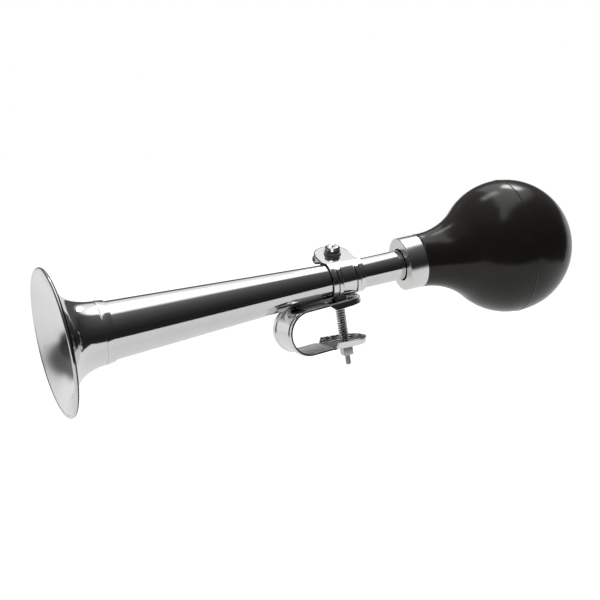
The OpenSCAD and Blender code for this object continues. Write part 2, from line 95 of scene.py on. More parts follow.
# ---------------------------------------------------------------- mesh helpers
def smooth(a, b, x):
    """0 before a and 1 after b, with a soft rise between them."""
    t = min(max((x - a) / (b - a), 0), 1)
    return t * t * (3 - 2 * t)


def quarter(steps):
    """Angles from 0 to 90 degrees in even steps, both ends included."""
    return [math.pi / 2 * k / steps for k in range(steps + 1)]


def wheel(segs):
    """Cosine and sine of each angle round a circle."""
    return [(math.cos(a), math.sin(a)) for a in (2 * math.pi * k / segs for k in range(segs))]


def make(name, verts, faces, place, sharp):
    """A mesh object from points in millimetres in the frame given by place."""
    me = bpy.data.meshes.new(name)
    pts = [(place @ Vector(v)) * 0.001 for v in verts]
    me.from_pydata(pts, [], faces)
    me.validate()
    bm = bmesh.new()
    bm.from_mesh(me)
    bmesh.ops.remove_doubles(bm, verts=bm.verts, dist=2e-6)
    bmesh.ops.dissolve_degenerate(bm, edges=bm.edges, dist=1e-6)
    bmesh.ops.recalc_face_normals(bm, faces=bm.faces)
    bm.to_mesh(me)
    bm.free()
    me.polygons.foreach_set("use_smooth", [True] * len(me.polygons))
    me.set_sharp_from_angle(angle=math.radians(sharp))
    ob = bpy.data.objects.new(name, me)
    bpy.context.scene.collection.objects.link(ob)
    return ob


def rounded(points, radius=0.3, steps=5, closed=True):
    """The outline points with each corner rounded. A point may carry its own radius."""
    out = []
    n = len(points)
    for i, p in enumerate(points):
        r = p[2] if len(p) > 2 else radius
        a, b, c = points[i - 1], p, points[(i + 1) % n]
        if (not closed and i in (0, n - 1)) or r <= 0:
            out.append((b[0], b[1]))
            continue
        b2 = Vector((b[0], b[1]))
        u = Vector((a[0], a[1])) - b2
        v = Vector((c[0], c[1])) - b2
        turn = u.angle(v)
        if turn > math.pi - 0.02:
            out.append((b[0], b[1]))
            continue
        cut = min(r / math.tan(turn / 2), u.length * 0.48, v.length * 0.48)
        u.normalize()
        v.normalize()
        p0, p2 = b2 + u * cut, b2 + v * cut
        rr = cut * math.tan(turn / 2)
        mid = b2 + (u + v).normalized() * (rr / math.sin(turn / 2))
        a0 = math.atan2(p0.y - mid.y, p0.x - mid.x)
        a1 = math.atan2(p2.y - mid.y, p2.x - mid.x)
        d = (a1 - a0 + math.pi) % (2 * math.pi) - math.pi
        for k in range(steps + 1):
            t = a0 + d * k / steps
            out.append((mid.x + rr * math.cos(t), mid.y + rr * math.sin(t)))
    return out


def lathe(name, outline, place=IN_PLACE, segs=192, axis="X", closed=True, sharp=32):
    """Turns [along, radius] points round the axis."""
    verts, faces, n = [], [], len(outline)
    for c, s in wheel(segs):
        for x, r in outline:
            verts.append((x, r * c, r * s) if axis == "X" else (r * c, r * s, x))
    for k in range(segs):
        k2 = (k + 1) % segs
        for i in range(n if closed else n - 1):
            j = (i + 1) % n
            faces.append([k * n + i, k * n + j, k2 * n + j, k2 * n + i])
    return make(name, verts, faces, place, sharp)


def prism(name, outline, low, high, place, edge, steps):
    """An upright prism with rounded rims, from an outline that runs round once."""
    verts, faces, n = [], [], len(outline)
    area = sum(outline[i - 1][0] * outline[i][1] - outline[i][0] * outline[i - 1][1] for i in range(n))
    flip = 1 if area > 0 else -1
    rim = [(edge * (1 - math.sin(a)), edge * (1 - math.cos(a))) for a in quarter(steps)]
    rings = [(low + rise, inset) for rise, inset in reversed(rim)]
    rings += [(high - rise, inset) for rise, inset in rim]
    norms = []
    for i in range(n):
        p, q, r = outline[i - 1], outline[i], outline[(i + 1) % n]
        t1 = Vector((q[0] - p[0], q[1] - p[1])).normalized()
        t2 = Vector((r[0] - q[0], r[1] - q[1])).normalized()
        m = Vector((t1.y + t2.y, -t1.x - t2.x)) * flip
        m.normalize()
        norms.append(m / max(0.3, abs(m.dot(Vector((t1.y, -t1.x)) * flip))))
    for z, d in rings:
        for i in range(n):
            verts.append((outline[i][0] - norms[i].x * d, outline[i][1] - norms[i].y * d, z))
    m = len(rings)
    for j in range(m - 1):
        for i in range(n):
            i2 = (i + 1) % n
            faces.append([j * n + i, j * n + i2, (j + 1) * n + i2, (j + 1) * n + i])
    faces.append(list(range(n))[::-1])
    faces.append([(m - 1) * n + i for i in range(n)])
    return make(name, verts, faces, place, 40)


def bake(ob, sharp):
    """ob with its modifiers made part of its mesh."""
    dg = bpy.context.evaluated_depsgraph_get()
    me = bpy.data.meshes.new_from_object(ob.evaluated_get(dg))
    ob.modifiers.clear()
    old = ob.data
    me.name = old.name
    ob.data = me
    bpy.data.meshes.remove(old)
    me.polygons.foreach_set("use_smooth", [True] * len(me.polygons))
    me.set_sharp_from_angle(angle=math.radians(sharp))
    return ob


def cut(ob, tool):
    """ob with tool taken away, and tool removed from the scene."""
    mod = ob.modifiers.new("cut", "BOOLEAN")
    mod.operation = "DIFFERENCE"
    mod.solver = "EXACT"
    mod.object = tool
    bake(ob, 32)
    bpy.data.objects.remove(tool, do_unlink=True)
    return ob


def soften(ob, width, angle):
    """ob with its edges sharper than the angle rounded."""
    mod = ob.modifiers.new("soften", "BEVEL")
    mod.width = width * 0.001
    mod.segments = 2
    mod.limit_method = "ANGLE"
    mod.angle_limit = math.radians(angle)
    return bake(ob, 40)


def sheet_from_grid(name, outer, inner, place):
    """A closed sheet between two grids of points of one size: outer skin, inner skin and rims."""
    rows, cols = len(outer), len(outer[0])
    verts = [p for row in outer for p in row] + [p for row in inner for p in row]
    off = rows * cols
    faces = []
    for i in range(rows - 1):
        for j in range(cols - 1):
            a, b, c, d = i * cols + j, i * cols + j + 1, (i + 1) * cols + j + 1, (i + 1) * cols + j
            faces.append([a, b, c, d])
            faces.append([off + d, off + c, off + b, off + a])
    for i in range(rows - 1):
        for j in (0, cols - 1):
            a, b = i * cols + j, (i + 1) * cols + j
            faces.append([a, b, off + b, off + a])
    for j in range(cols - 1):
        for i in (0, rows - 1):
            a, b = i * cols + j, i * cols + j + 1
            faces.append([a, b, off + b, off + a])
    return make(name, verts, faces, place, 50)


def rolled_rows(point, row, half, edge, offs, thick):
    """One row of a sheet's outer and inner skins. Its long edges roll over with the radius
    edge, and offs places the columns between them as shares of the flat half width."""
    left = [(-half + edge * (1 - math.cos(a)), edge * (1 - math.sin(a))) for a in quarter(3)]
    right = [(-x, d) for x, d in reversed(left)]
    row_at = left + [(t * (half - edge), 0) for t in offs[1:-1]] + right
    return [point(row, x, d) for x, d in row_at], [point(row, x, thick - d) for x, d in row_at]


# ---------------------------------------------------------------- materials
def shade(name, color, metallic, rough, build, spec=0.5):
    """A Principled material whose build function adds its procedural detail."""
    mat = bpy.data.materials.new(name)
    mat.use_nodes = True
    nt = mat.node_tree
    bsdf = nt.nodes["Principled BSDF"]
    bsdf.inputs["Base Color"].default_value = (*color, 1)
    bsdf.inputs["Metallic"].default_value = metallic
    bsdf.inputs["Roughness"].default_value = rough
    bsdf.inputs["Specular IOR Level"].default_value = spec
    build(nt, bsdf)
    mat.diffuse_color = (*color, 1)
    return mat


def noise(nt, scale, detail=3.0, rough=0.5, stretch=(1, 1, 1), vector=None):
    """A noise value on the object's own coordinates, or on vector."""
    if vector is None:
        vector = nt.nodes.new("ShaderNodeTexCoord").outputs["Object"]
    mp = nt.nodes.new("ShaderNodeMapping")
    mp.inputs["Scale"].default_value = stretch
    nt.links.new(vector, mp.inputs["Vector"])
    nz = nt.nodes.new("ShaderNodeTexNoise")
    nz.inputs["Scale"].default_value = scale
    nz.inputs["Detail"].default_value = detail
    nz.inputs["Roughness"].default_value = rough
    nt.links.new(mp.outputs["Vector"], nz.inputs["Vector"])
    return nz.outputs["Fac"]


def ramp(nt, fac, stops):
    """fac turned into a colour or a level by the [place, value] stops."""
    rp = nt.nodes.new("ShaderNodeValToRGB")
    el = rp.color_ramp.elements
    while len(el) < len(stops):
        el.new(0.5)
    for e, (pos, val) in zip(el, stops):
        e.position = pos
        e.color = (*val, 1) if isinstance(val, tuple) else (val, val, val, 1)
    nt.links.new(fac, rp.inputs["Fac"])
    return rp.outputs["Color"]


def bump(nt, bsdf, height, strength, distance, before=None):
    """Adds a bump to the material, over the bump before if there is one."""
    b = nt.nodes.new("ShaderNodeBump")
    b.inputs["Strength"].default_value = strength
    b.inputs["Distance"].default_value = distance
    nt.links.new(height, b.inputs["Height"])
    if before is not None:
        nt.links.new(before, b.inputs["Normal"])
    nt.links.new(b.outputs["Normal"], bsdf.inputs["Normal"])
    return b.outputs["Normal"]


def axis_radius(nt):
    """The place along the horn's axis and the distance from it, in metres, as a vector."""
    tc = nt.nodes.new("ShaderNodeTexCoord")
    mp = nt.nodes.new("ShaderNodeMapping")
    mp.inputs["Location"].default_value = (-HORN.x * 0.001, -HORN.y * 0.001, -HORN.z * 0.001)
    nt.links.new(tc.outputs["Object"], mp.inputs["Vector"])
    sep = nt.nodes.new("ShaderNodeSeparateXYZ")
    nt.links.new(mp.outputs["Vector"], sep.inputs["Vector"])
    y2 = nt.nodes.new("ShaderNodeVectorMath")
    y2.operation = "MULTIPLY"
    nt.links.new(mp.outputs["Vector"], y2.inputs[0])
    y2.inputs[1].default_value = (0, 1, 1)
    ln = nt.nodes.new("ShaderNodeVectorMath")
    ln.operation = "LENGTH"
    nt.links.new(y2.outputs["Vector"], ln.inputs[0])
    com = nt.nodes.new("ShaderNodeCombineXYZ")
    nt.links.new(sep.outputs["X"], com.inputs["X"])
    nt.links.new(ln.outputs["Value"], com.inputs["Y"])
    return com.outputs["Vector"]


def chrome_detail(rough_low, rough_high, wave=0.03, spin=0.0):
    """Smudges, a faint waviness, fine grain and, with spin, rings from turning."""
    def build(nt, bsdf):
        smudge = noise(nt, 38, 4, 0.6)
        nt.links.new(ramp(nt, smudge, [(0.3, rough_low), (0.75, rough_high)]), bsdf.inputs["Roughness"])
        c = bsdf.inputs["Base Color"].default_value[:3]
        dim, bright = tuple(v * 0.94 for v in c), tuple(min(1, v * 1.03) for v in c)
        tone = noise(nt, 22, 3, 0.55)
        nt.links.new(ramp(nt, tone, [(0.3, dim), (0.7, bright)]), bsdf.inputs["Base Color"])
        nrm = bump(nt, bsdf, noise(nt, 60, 2, 0.4), wave, 0.0006)
        nrm = bump(nt, bsdf, noise(nt, 900, 2, 0.5), 0.02, 0.0001, nrm)
        if spin:
            rings = noise(nt, 1, 3, 0.7, (900, 900, 900), axis_radius(nt))
            bump(nt, bsdf, rings, spin, 0.0002, nrm)
    return build


def rubber_detail(nt, bsdf):
    tone = noise(nt, 30, 4, 0.6)
    nt.links.new(ramp(nt, tone, [(0.3, (0.042, 0.039, 0.032)), (0.75, (0.05, 0.046, 0.039))]),
                 bsdf.inputs["Base Color"])
    nt.links.new(ramp(nt, noise(nt, 90, 4, 0.6), [(0.3, 0.15), (0.8, 0.22)]), bsdf.inputs["Roughness"])
    nrm = bump(nt, bsdf, noise(nt, 1400, 3, 0.6), 0.08, 0.0002)
    bump(nt, bsdf, noise(nt, 55, 3, 0.5), 0.05, 0.0015, nrm)


def brass_detail(nt, bsdf):
    tone = noise(nt, 60, 4, 0.6)
    nt.links.new(ramp(nt, tone, [(0.3, (0.40, 0.27, 0.10)), (0.75, (0.58, 0.42, 0.17))]),
                 bsdf.inputs["Base Color"])
    nt.links.new(ramp(nt, noise(nt, 150, 3, 0.6), [(0.3, 0.25), (0.8, 0.45)]), bsdf.inputs["Roughness"])
    bump(nt, bsdf, noise(nt, 1, 3, 0.7, (1200, 300, 300)), 0.08, 0.0002)


PLATE = (0.72, 0.72, 0.715)
M_TUBE = shade("plated_tube", PLATE, 1, 0.1, chrome_detail(0.05, 0.11, 0.02))
M_BELL = shade("plated_bell", PLATE, 1, 0.12, chrome_detail(0.07, 0.14, 0.03, 0.05))
M_SATIN = shade("satin_bell_inside", (0.88, 0.88, 0.875), 1, 0.24, chrome_detail(0.2, 0.28, 0.03, 0.12))
M_BRACKET = shade("plated_bracket", (0.78, 0.78, 0.775), 1, 0.13, chrome_detail(0.08, 0.17, 0.05))
# Near-black metal for rims and creases: painted shade that draws dark outlines along edges and in gaps
M_EDGE_SHADE = shade("painted_shade_edge", (0.05, 0.05, 0.049), 1, 0.3, chrome_detail(0.25, 0.4, 0.06))
M_INNER = shade("dull_inside", (0.74, 0.74, 0.735), 0.2, 0.42, chrome_detail(0.36, 0.5, 0.08))
# Dark grey copy of the plated metal for the lower lobe's floor under the upper lobe: painted shade between
# the lobes
M_LOBE_SHADE = shade("painted_shade_lobe", (0.3, 0.3, 0.295), 1, 0.36, chrome_detail(0.3, 0.44, 0.08))
M_WASHER = shade("dull_washer", (0.6, 0.6, 0.595), 0.3, 0.4, chrome_detail(0.34, 0.46, 0.08))
M_NUT = shade("dull_nut", (0.6, 0.6, 0.595), 1, 0.4, chrome_detail(0.34, 0.46, 0.08))
# Near-black thread: painted shade on the long screw inside the spring, between the lobes
M_SHADED_THREAD = shade("painted_shade_thread", (0.09, 0.09, 0.087), 1, 0.4, chrome_detail(0.3, 0.5, 0.06))
M_STEEL = shade("plated_steel", (0.58, 0.58, 0.57), 1, 0.22, chrome_detail(0.15, 0.28, 0.06))
M_SPRING = shade("spring_wire", (0.74, 0.74, 0.73), 1, 0.2, chrome_detail(0.15, 0.24, 0.05))
M_FACE = shade("satin_face", (0.74, 0.74, 0.73), 1, 0.28, chrome_detail(0.24, 0.34, 0.03, 0.3))
M_FERRULE = shade("plated_ferrule", (0.74, 0.74, 0.735), 1, 0.24, chrome_detail(0.2, 0.28, 0.03))
M_RUBBER = shade("black_rubber", (0.008, 0.008, 0.0075), 0, 0.4, rubber_detail, spec=0.34)
M_BRASS = shade("turned_brass", (0.5, 0.36, 0.14), 1, 0.3, brass_detail)


def dress(ob, *mats):
    """Gives ob the materials, in the order of its slots."""
    ob.data.materials.clear()
    for m in mats:
        ob.data.materials.append(m)


def done(ob, body, slot, mats, *nodes):
    """Dresses a visible piece, puts it on its body and hides the CAD nodes it replaces."""
    dress(ob, *mats)
    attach(ob, body)
    if nodes:
        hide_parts(*nodes)
    return ob


def slot_where(me, place, test, slot=1):
    """Gives another material to the faces whose middle and normal pass the test."""
    inv = place.inverted()
    spin = inv.to_3x3()
    for p in me.polygons:
        if test(inv @ (p.center * 1000), spin @ p.normal):
            p.material_index = slot


# ---------------------------------------------------------------- bell
FLARE_H = BELL_R - BEAD_R / 2 - TAPER_R - SHEET
SOCKET_STEP = 0.2  # the socket stands proud of the flare behind a pressed groove
GROOVE = 0.3


def flare_r(x):
    """The flare's outer radius."""
    return taper_r(x) + SHEET + FLARE_H * math.exp(-(max(x - BEAD_R / 2, 0) / FLARE_LEN) ** 1.1)


def bell_outline():
    """The bell's sheet as one closed outline of [along, radius] points."""
    steps = 90
    first = BEAD_R / 2 + 0.35
    reach = FLARE_END - BEAD_R / 2 - 0.65
    xs = [first + reach * (i / steps) ** 1.7 for i in range(steps + 1)]
    front = [(x, flare_r(x)) for x in xs if flare_r(x) < BELL_R - BEAD_R * 0.75]
    inner = []
    for x in xs:
        slope = (flare_r(x + 0.02) - flare_r(x - 0.02)) / 0.04
        n = math.hypot(1, slope)
        inner.append((x + slope * SHEET / n, flare_r(x) - SHEET / n))
    back = [p for p in reversed(inner) if p[0] > 0.45 and p[1] < BELL_R - 2 * BEAD_R + 0.3]
    # Rolled rim, from the outside of the sheet round the front to the inside
    mid = (BEAD_R, BELL_R - BEAD_R)
    bead = [(mid[0] + BEAD_R * math.cos(math.radians(a)), mid[1] + BEAD_R * math.sin(math.radians(a)))
            for a in range(-20, 236, 8)]
    base = flare_r(FLARE_END)
    groove = [(FLARE_END - 0.34, flare_r(FLARE_END - 0.3) - 0.02), (FLARE_END - 0.14, base - GROOVE),
              (FLARE_END + 0.10, base - GROOVE), (FLARE_END + 0.28, base + SOCKET_STEP - 0.06),
              (FLARE_END + 0.45, base + SOCKET_STEP)]
    mid_x = (FLARE_END + BELL_LEN) / 2
    bore = taper_r(BELL_LEN)
    rim = bore + SHEET + SOCKET_STEP
    end = [(mid_x, flare_r(mid_x) + SOCKET_STEP), (BELL_LEN - 0.28, rim), (BELL_LEN - 0.10, rim - 0.04),
           (BELL_LEN, bore + SHEET - 0.1), (BELL_LEN, bore + 0.06), (BELL_LEN - 0.5, bore + 0.02),
           (FLARE_END, taper_r(FLARE_END) + 0.02)]
    return bead[::-1] + front + groove + end + back


bell = lathe("bell_shell", bell_outline(), segs=256, sharp=40)
done(bell, "horn", "nickel_bell", (M_BELL, M_SATIN, M_EDGE_SHADE), "bell")
slot_where(bell.data, IN_PLACE, lambda c, n: c.x < FLARE_END + 1 and math.hypot(c.y, c.z) < min(
    flare_r(max(c.x, 0)) - SHEET / 2, BELL_R - 1.6))
# The rolled rim's back, towards the flare, gets the near-black edge: painted shade in the crease behind
# the bead
slot_where(bell.data, IN_PLACE, lambda c, n: n.x > 0.15 and c.x < 2 * BEAD_R + 0.1
           and math.hypot(c.y, c.z) > BELL_R - 2 * BEAD_R + 0.1, 2)

# ---------------------------------------------------------------- tubes
TAPER_START = FLARE_END - 4
TAPER_T, TAIL_T = 0.6, 0.8
taper = lathe("tapered_tube", rounded([
    (TAPER_START, taper_r(TAPER_START) - TAPER_T), (TAPER_START, taper_r(TAPER_START)),
    (TAPER_END, taper_r(TAPER_END)), (TAPER_END, taper_r(TAPER_END) - TAPER_T)], 0.1))
done(taper, "horn", "nickel_tube", (M_TUBE,), "taper_tube")

BLOCK_X, BLOCK_END, BLOCK_R = 197.0, 215.0, 10.05  # the reed's barrel
TUBE_END = BLOCK_X + 9
tail = lathe("tail_pipe", rounded([
    (TAPER_END, TAIL_R - TAIL_T), (TAPER_END, TAIL_R), (TUBE_END, TAIL_R),
    (TUBE_END, TAIL_R - TAIL_T)], 0.15), segs=160)
done(tail, "horn", "nickel_tube", (M_TUBE,), "tail_tube")

# ---------------------------------------------------------------- ferrule
FERRULE_X, FERRULE_LEN, FERRULE_R = 193.4, 10.6, 14.15
FERRULE_END = FERRULE_X + FERRULE_LEN
HOLE_R = TAIL_R + 0.65
NECK_R = FERRULE_R - 0.8
FACE_T = 1  # the ferrule's face
ferrule = lathe("bulb_ferrule", rounded([
    (FERRULE_X, HOLE_R, 0.12), (FERRULE_X, FERRULE_R, 0.5), (FERRULE_END, FERRULE_R, 0.3),
    (FERRULE_END, NECK_R, 0.1), (FERRULE_X + FACE_T, NECK_R, 0.2),
    (FERRULE_X + FACE_T, HOLE_R, 0.2)], 0.3, 6))
done(ferrule, "horn", "nickel_ferrule", (M_FERRULE, M_FACE, M_EDGE_SHADE), "ferrule")
slot_where(ferrule.data, IN_PLACE, lambda c, n: n.x < -0.98 and c.x < FERRULE_X + 0.1)
# The rim of the hole round the tail pipe gets the near-black edge: painted shade in the gap
slot_where(ferrule.data, IN_PLACE, lambda c, n: math.hypot(c.y, c.z) < HOLE_R + 0.14
           and c.x < FERRULE_X + FACE_T + 0.1, 2)

# ---------------------------------------------------------------- rubber bulb
BULB_R = 36.2
BULB_REACH = 53.0
BULB_NECK = FERRULE_R + 0.1
DROOP = math.radians(3)
SWEEP = (BULB_REACH ** 2 + BULB_NECK ** 2 - BULB_R ** 2) / (2 * (BULB_R - BULB_NECK))
TOUCH = math.atan2(BULB_NECK + SWEEP, BULB_REACH)
SEAM, SEAM_HALF = 0.2, 0.38  # height and half width of the moulding seam


def seam(x):
    return SEAM * math.exp(-((x - BULB_REACH) / SEAM_HALF) ** 4)


def bulb_skin():
    """[Along, radius] points from the ferrule's end over the concave neck to the tip."""
    out = []
    for i in range(31):
        a = i * (math.pi / 2 - TOUCH) / 30
        out.append((SWEEP * math.sin(a), BULB_NECK + SWEEP - SWEEP * math.cos(a)))
    for i in range(1, 181):
        a = TOUCH + i * (math.pi - TOUCH) / 180
        out.append((BULB_REACH - BULB_R * math.cos(a), BULB_R * math.sin(a)))
    return out


def bulb_mesh():
    skin = [(x, r + seam(x) if r > 1 else r) for x, r in bulb_skin()]
    fine = []
    for p, q in zip(skin, skin[1:]):
        fine.append(p)
        # Closer points across the seam
        if abs(p[0] - BULB_REACH) < 2:
            for k in range(1, 5):
                x = p[0] + (q[0] - p[0]) * k / 5
                fine.append((x, math.sqrt(max(BULB_R ** 2 - (x - BULB_REACH) ** 2, 0)) + seam(x)))
    fine = [(x, r) for x, r in fine if r > 0.02]
    tilt = Matrix.Translation((FERRULE_END, 0, 0)) @ Matrix.Rotation(DROOP, 4, "Y")
    lip = TAIL_R + 0.08
    neck = [(BLOCK_X - 0.3, BLOCK_R), (BLOCK_X - 0.3, lip), (FERRULE_X + FACE_T + 0.2, lip),
            (FERRULE_X + FACE_T + 0.2, NECK_R - 0.05), (FERRULE_END - 0.6, NECK_R - 0.05)]
    segs = 224
    verts, faces = [], []
    n = len(neck) + len(fine)
    for c, s in wheel(segs):
        verts += [(x, r * c, r * s) for x, r in neck]
        verts += [tuple(tilt @ Vector((x, r * c, r * s))) for x, r in fine]
    tip = len(verts)
    verts.append(tuple(tilt @ Vector((BULB_REACH + BULB_R, 0, 0))))
    # The inside of the neck closes the skin on the reed's barrel
    inner = len(verts)
    verts += [(BLOCK_END, BLOCK_R * c, BLOCK_R * s) for c, s in wheel(segs)]
    centre = len(verts)
    verts.append((BLOCK_END, 0, 0))
    for k in range(segs):
        k2 = (k + 1) % segs
        for i in range(n - 1):
            faces.append([k * n + i, k * n + i + 1, k2 * n + i + 1, k2 * n + i])
        faces.append([k * n + n - 1, tip, k2 * n + n - 1])
        faces.append([k * n, k2 * n, inner + k2, inner + k])
        faces.append([inner + k, inner + k2, centre])
    return make("bulb_skin", verts, faces, IN_PLACE, 60)


bulb = bulb_mesh()
done(bulb, "horn", "black_rubber", (M_RUBBER,), "bulb")

# ---------------------------------------------------------------- reed unit, hidden in the neck
for node in ("reed_block", "reed_shallot", "reed_wedge", "reed_tongue"):
    dress(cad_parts[node], M_BRASS)


# ---------------------------------------------------------------- pinch ring: one bent sheet
RING_MID = ring_bore(RING_X) + BAND_T / 2
RING_FILLET = 1.25
RING_LOW = RING_MID - BAND_T - EAR_GAP  # height of the lower ear's middle
RING_REACH = math.acos((RING_LOW - RING_FILLET) / (RING_MID + RING_FILLET))
RING_CY = (RING_MID + RING_FILLET) * math.sin(RING_REACH)
BEAD_X, BEAD_HALF, BEAD_H = 5.3, 1.5, 0.7  # the two pressed beads
BEAD_START, BEAD_STOP = (11, 19), (102, 114)  # where they rise and fade, in degrees from the top


def ring_path():
    """Stations along the band, from the tip of the upper ear over the crown, down the front,
    under the tube and out along the lower ear. Each is (kind, value)."""
    tip = RING_W / 2
    path = [("ear", EAR_REACH + tip * math.sin(a)) for a in reversed(quarter(24))]
    path += [("ear", EAR_REACH * (1 - i / 12)) for i in range(1, 13)]
    # Round the tube, by angle from the crown towards the front
    path += [("arc", (2 * math.pi - RING_REACH) * i / 180) for i in range(1, 181)]
    path += [("bend", i / 10) for i in range(1, 11)]
    path += [("low", RING_CY + (EAR_REACH - RING_CY) * i / 10) for i in range(1, 11)]
    path += [("low", EAR_REACH + tip * math.sin(a)) for a in quarter(24)[1:]]
    return path


def ring_bead(x, v):
    """The height of the pressed beads at x, at the angle v round the tube."""
    turn = math.degrees(v) - math.degrees(EAR_LEAN)
    ends = smooth(*BEAD_START, turn) * (1 - smooth(*BEAD_STOP, turn))
    return BEAD_H * ends * smooth(0, 0.7, BEAD_HALF - abs(abs(x) - BEAD_X))


def ring_point(entry, x, depth):
    """The point at x from the middle of the ring, at a depth under the outer skin, in the
    frame that leans back with the ears."""
    kind, v = entry
    if kind == "ear":
        x -= EAR_SHIFT * smooth(0.4, 2.8, v)
    if kind == "low":
        x -= (EAR_SHIFT + EAR_SKEW) * smooth(7.6, 10.6, v)
    lift = ring_bore(RING_X + x) - ring_bore(RING_X)
    out = BAND_T / 2 - depth
    if kind == "ear":
        return (x, v, RING_MID + out + lift)
    if kind == "arc":
        bead = ring_bead(x, v) if depth == 0 else 0.0
        r = RING_MID + out + bead + lift
        return (x, -r * math.sin(v), r * math.cos(v))
    if kind == "bend":
        # From the end of the arc, a turn outwards onto the lower ear
        start = math.atan2(-math.cos(RING_REACH), -math.sin(RING_REACH)) + 2 * math.pi
        a = start + (math.pi / 2 - start) * v
        r = RING_FILLET - out
        return (x, RING_CY + r * math.cos(a), RING_LOW - RING_FILLET + r * math.sin(a) + lift)
    return (x, v, RING_LOW - out + lift)


def ring_half(entry):
    """Half the band's width at a station."""
    kind, v = entry
    if kind in ("ear", "low") and v > EAR_REACH:
        return math.sqrt(max((RING_W / 2) ** 2 - (v - EAR_REACH) ** 2, 0.0004))
    return RING_W / 2


def ring_mesh():
    edge = 0.15
    flat = RING_W / 2 - edge
    crest, wide = BEAD_X / flat, BEAD_HALF / flat
    # Columns across the band, closer on the beads
    offs = [-1 + (1 - crest - wide) * i / 6 for i in range(6)]
    offs += [-crest - wide + 2 * wide * i / 16 for i in range(17)]
    offs += [-(crest - wide) + 2 * (crest - wide) * i / 16 for i in range(1, 16)]
    offs += [crest - wide + 2 * wide * i / 16 for i in range(17)]
    offs += [crest + wide + (1 - crest - wide) * i / 6 for i in range(1, 7)]
    outer, inner = [], []
    for entry in ring_path():
        h = ring_half(entry)
        skins = rolled_rows(ring_point, entry, h, min(edge, h * 0.4), offs, BAND_T)
        outer.append(skins[0])
        inner.append(skins[1])
    return sheet_from_grid("ring_band", outer, inner, LEAN)


ring = ring_mesh()
done(ring, "bracket", "nickel_bracket", (M_BRACKET, M_EDGE_SHADE), "pinch_ring")
# The band's long rims, and the round rims of the ears, in near-black: painted shade that draws their dark
# outlines
slot_where(ring.data, LEAN, lambda c, n: abs(n.x) > 0.72
           or (c.y > 3 and c.z > RING_LOW - 1.2 and abs(n.z) < 0.6))
slot_where(ring.data, LEAN, lambda c, n: c.y > EAR_REACH and c.z > RING_LOW + 1
           and math.hypot(c.x + EAR_SHIFT, c.y - EAR_REACH) > RING_W / 2 - 0.5)

# The ring's foot, whose boss the strap turns on
PIVOT_R = 3.7
FOOT_BORE = 1.55
BOSS_LOW = LOBE_TOP - STRAP_T + 0.1
foot = lathe("ring_foot", rounded([
    (LOBE_TOP + 2.4, FOOT_BORE), (LOBE_TOP + 2.4, PIVOT_R + 1), (LOBE_TOP + REST_GAP, PIVOT_R + 1, 0.3),
    (LOBE_TOP + REST_GAP, PIVOT_R, 0.05), (BOSS_LOW, PIVOT_R, 0.25), (BOSS_LOW, FOOT_BORE, 0.05)], 0.2, 4),
    AT_SCREW, 96, "Z")
done(foot, "bracket", "nickel_bracket", (M_BRACKET,))

# ---------------------------------------------------------------- pinch screw and washer
HEAD_R, HEAD_H = 4.1, 3.0
PINCH_R, PINCH_PITCH, PINCH_DEPTH = 1.98, 0.7, 0.38
WASHER_R, WASHER_BORE, WASHER_T = 4.6, 2.2, 1.1
HEAD_Z = RING_TOP + WASHER_T + REST_GAP
SHANK_LOW = RING_TOP - 2 * BAND_T - EAR_GAP - 1.5
SLOT, SLOT_HALF, SLOT_DEPTH = math.radians(62), 0.62, 1.5
SPLIT, SPLIT_HALF = math.radians(215), 0.3


def thread_rod(name, r, pitch, low, high, place, depth, tip=0.4, round_top=False):
    """A threaded rod along Z, with a chamfered end at the low side. With round_top, the ring
    at its high end has no thread."""
    segs, rows = 40, int((high - low) / pitch * 8) + 1
    flat = 0.12  # the share that crest and root are cut off by
    verts, faces = [], []
    for j in range(rows):
        z = low + (high - low) * j / (rows - 1)
        for k, (c, s) in enumerate(wheel(segs)):
            ph = ((z - low) / pitch - k / segs) % 1.0
            tri = 1 - abs(2 * ph - 1)
            tri = min(max((tri - flat) / (1 - 2 * flat), 0), 1)
            rr = r - depth * (1 - tri)
            if round_top and j == rows - 1:
                rr = r
            if z < low + tip:
                rr = min(rr, r - depth - 0.1 + (z - low) * 0.9)
            verts.append((rr * c, rr * s, z))
    for j in range(rows - 1):
        for k in range(segs):
            k2 = (k + 1) % segs
            faces.append([j * segs + k, j * segs + k2, (j + 1) * segs + k2, (j + 1) * segs + k])
    faces.append(list(range(segs))[::-1])
    faces.append([(rows - 1) * segs + k for k in range(segs)])
    return make(name, verts, faces, place, 28)


head = lathe("pinch_screw_head", rounded([
    (HEAD_Z - 0.02, 0.0), (HEAD_Z, 0.05, 0), (HEAD_Z, HEAD_R, 0.3), (HEAD_Z + HEAD_H * 0.72, HEAD_R, 0.5),
    (HEAD_Z + HEAD_H, HEAD_R * 0.72, 1.6), (HEAD_Z + HEAD_H, 0.05, 0)], 0.2, 6, False),
    AT_PINCH, 96, "Z", closed=False)
# The lathe leaves a pinhole on the axis, which is filled
me = head.data
bm = bmesh.new()
bm.from_mesh(me)
bmesh.ops.holes_fill(bm, edges=[e for e in bm.edges if e.is_boundary])
bmesh.ops.recalc_face_normals(bm, faces=bm.faces)
bm.to_mesh(me)
bm.free()
slot_tool = prism("slot_tool", [(-8, -SLOT_HALF), (8, -SLOT_HALF), (8, SLOT_HALF), (-8, SLOT_HALF)],
                  HEAD_Z + HEAD_H - SLOT_DEPTH, HEAD_Z + HEAD_H + 3,
                  AT_PINCH @ Matrix.Rotation(SLOT, 4, "Z"), 0.02, 1)
head = soften(cut(head, slot_tool), 0.1, 40)
done(head, "pinch_screw", "bright_steel", (M_STEEL,), "pinch_screw")
shank = thread_rod("pinch_screw_shank", PINCH_R, PINCH_PITCH, SHANK_LOW, HEAD_Z + 0.3, AT_PINCH,
                   PINCH_DEPTH)
done(shank, "pinch_screw", "bright_steel", (M_STEEL,))

